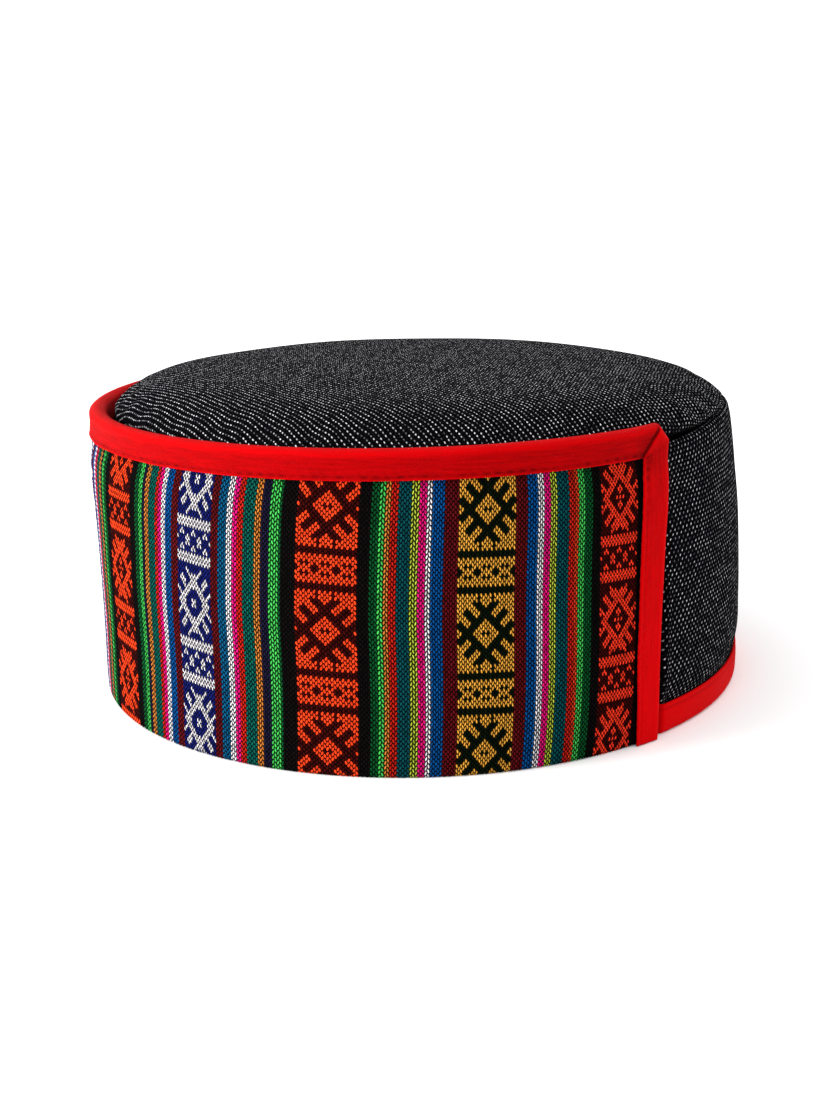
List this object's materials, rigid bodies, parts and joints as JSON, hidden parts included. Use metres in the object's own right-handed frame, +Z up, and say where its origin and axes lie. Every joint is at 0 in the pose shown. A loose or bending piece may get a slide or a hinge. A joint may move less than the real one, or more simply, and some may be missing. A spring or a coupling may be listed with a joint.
{
  "type": "himachali cap",
  "caption": "Round cap with a stiff tweed crown, a puffed flat top, and a standing flap of striped and figured wool bound in red tape, open at the back.",
  "frame": {"origin": "on the surface that the cap stands on, in the middle of its outline seen from above", "axes": "+Z up; -Y towards the front, the middle of the flap; +Y towards the bare back; +X towards the wearer's left"},
  "size_m": [0.194, 0.1943, 0.093],
  "materials": {
    "tweed": "coarse black tweed with white flecks, matt",
    "kullu_wool": "woven wool, upright stripes in many colours with figured strips, matt",
    "red_tape": "smooth red cotton tape, soft sheen"
  },
  "bodies": {
    "root": {"crown_top": "tweed", "crown_side": "tweed", "rim_binding": "red_tape", "front_band": "kullu_wool", "band_binding": "red_tape"}
  },
  "joints": []
}
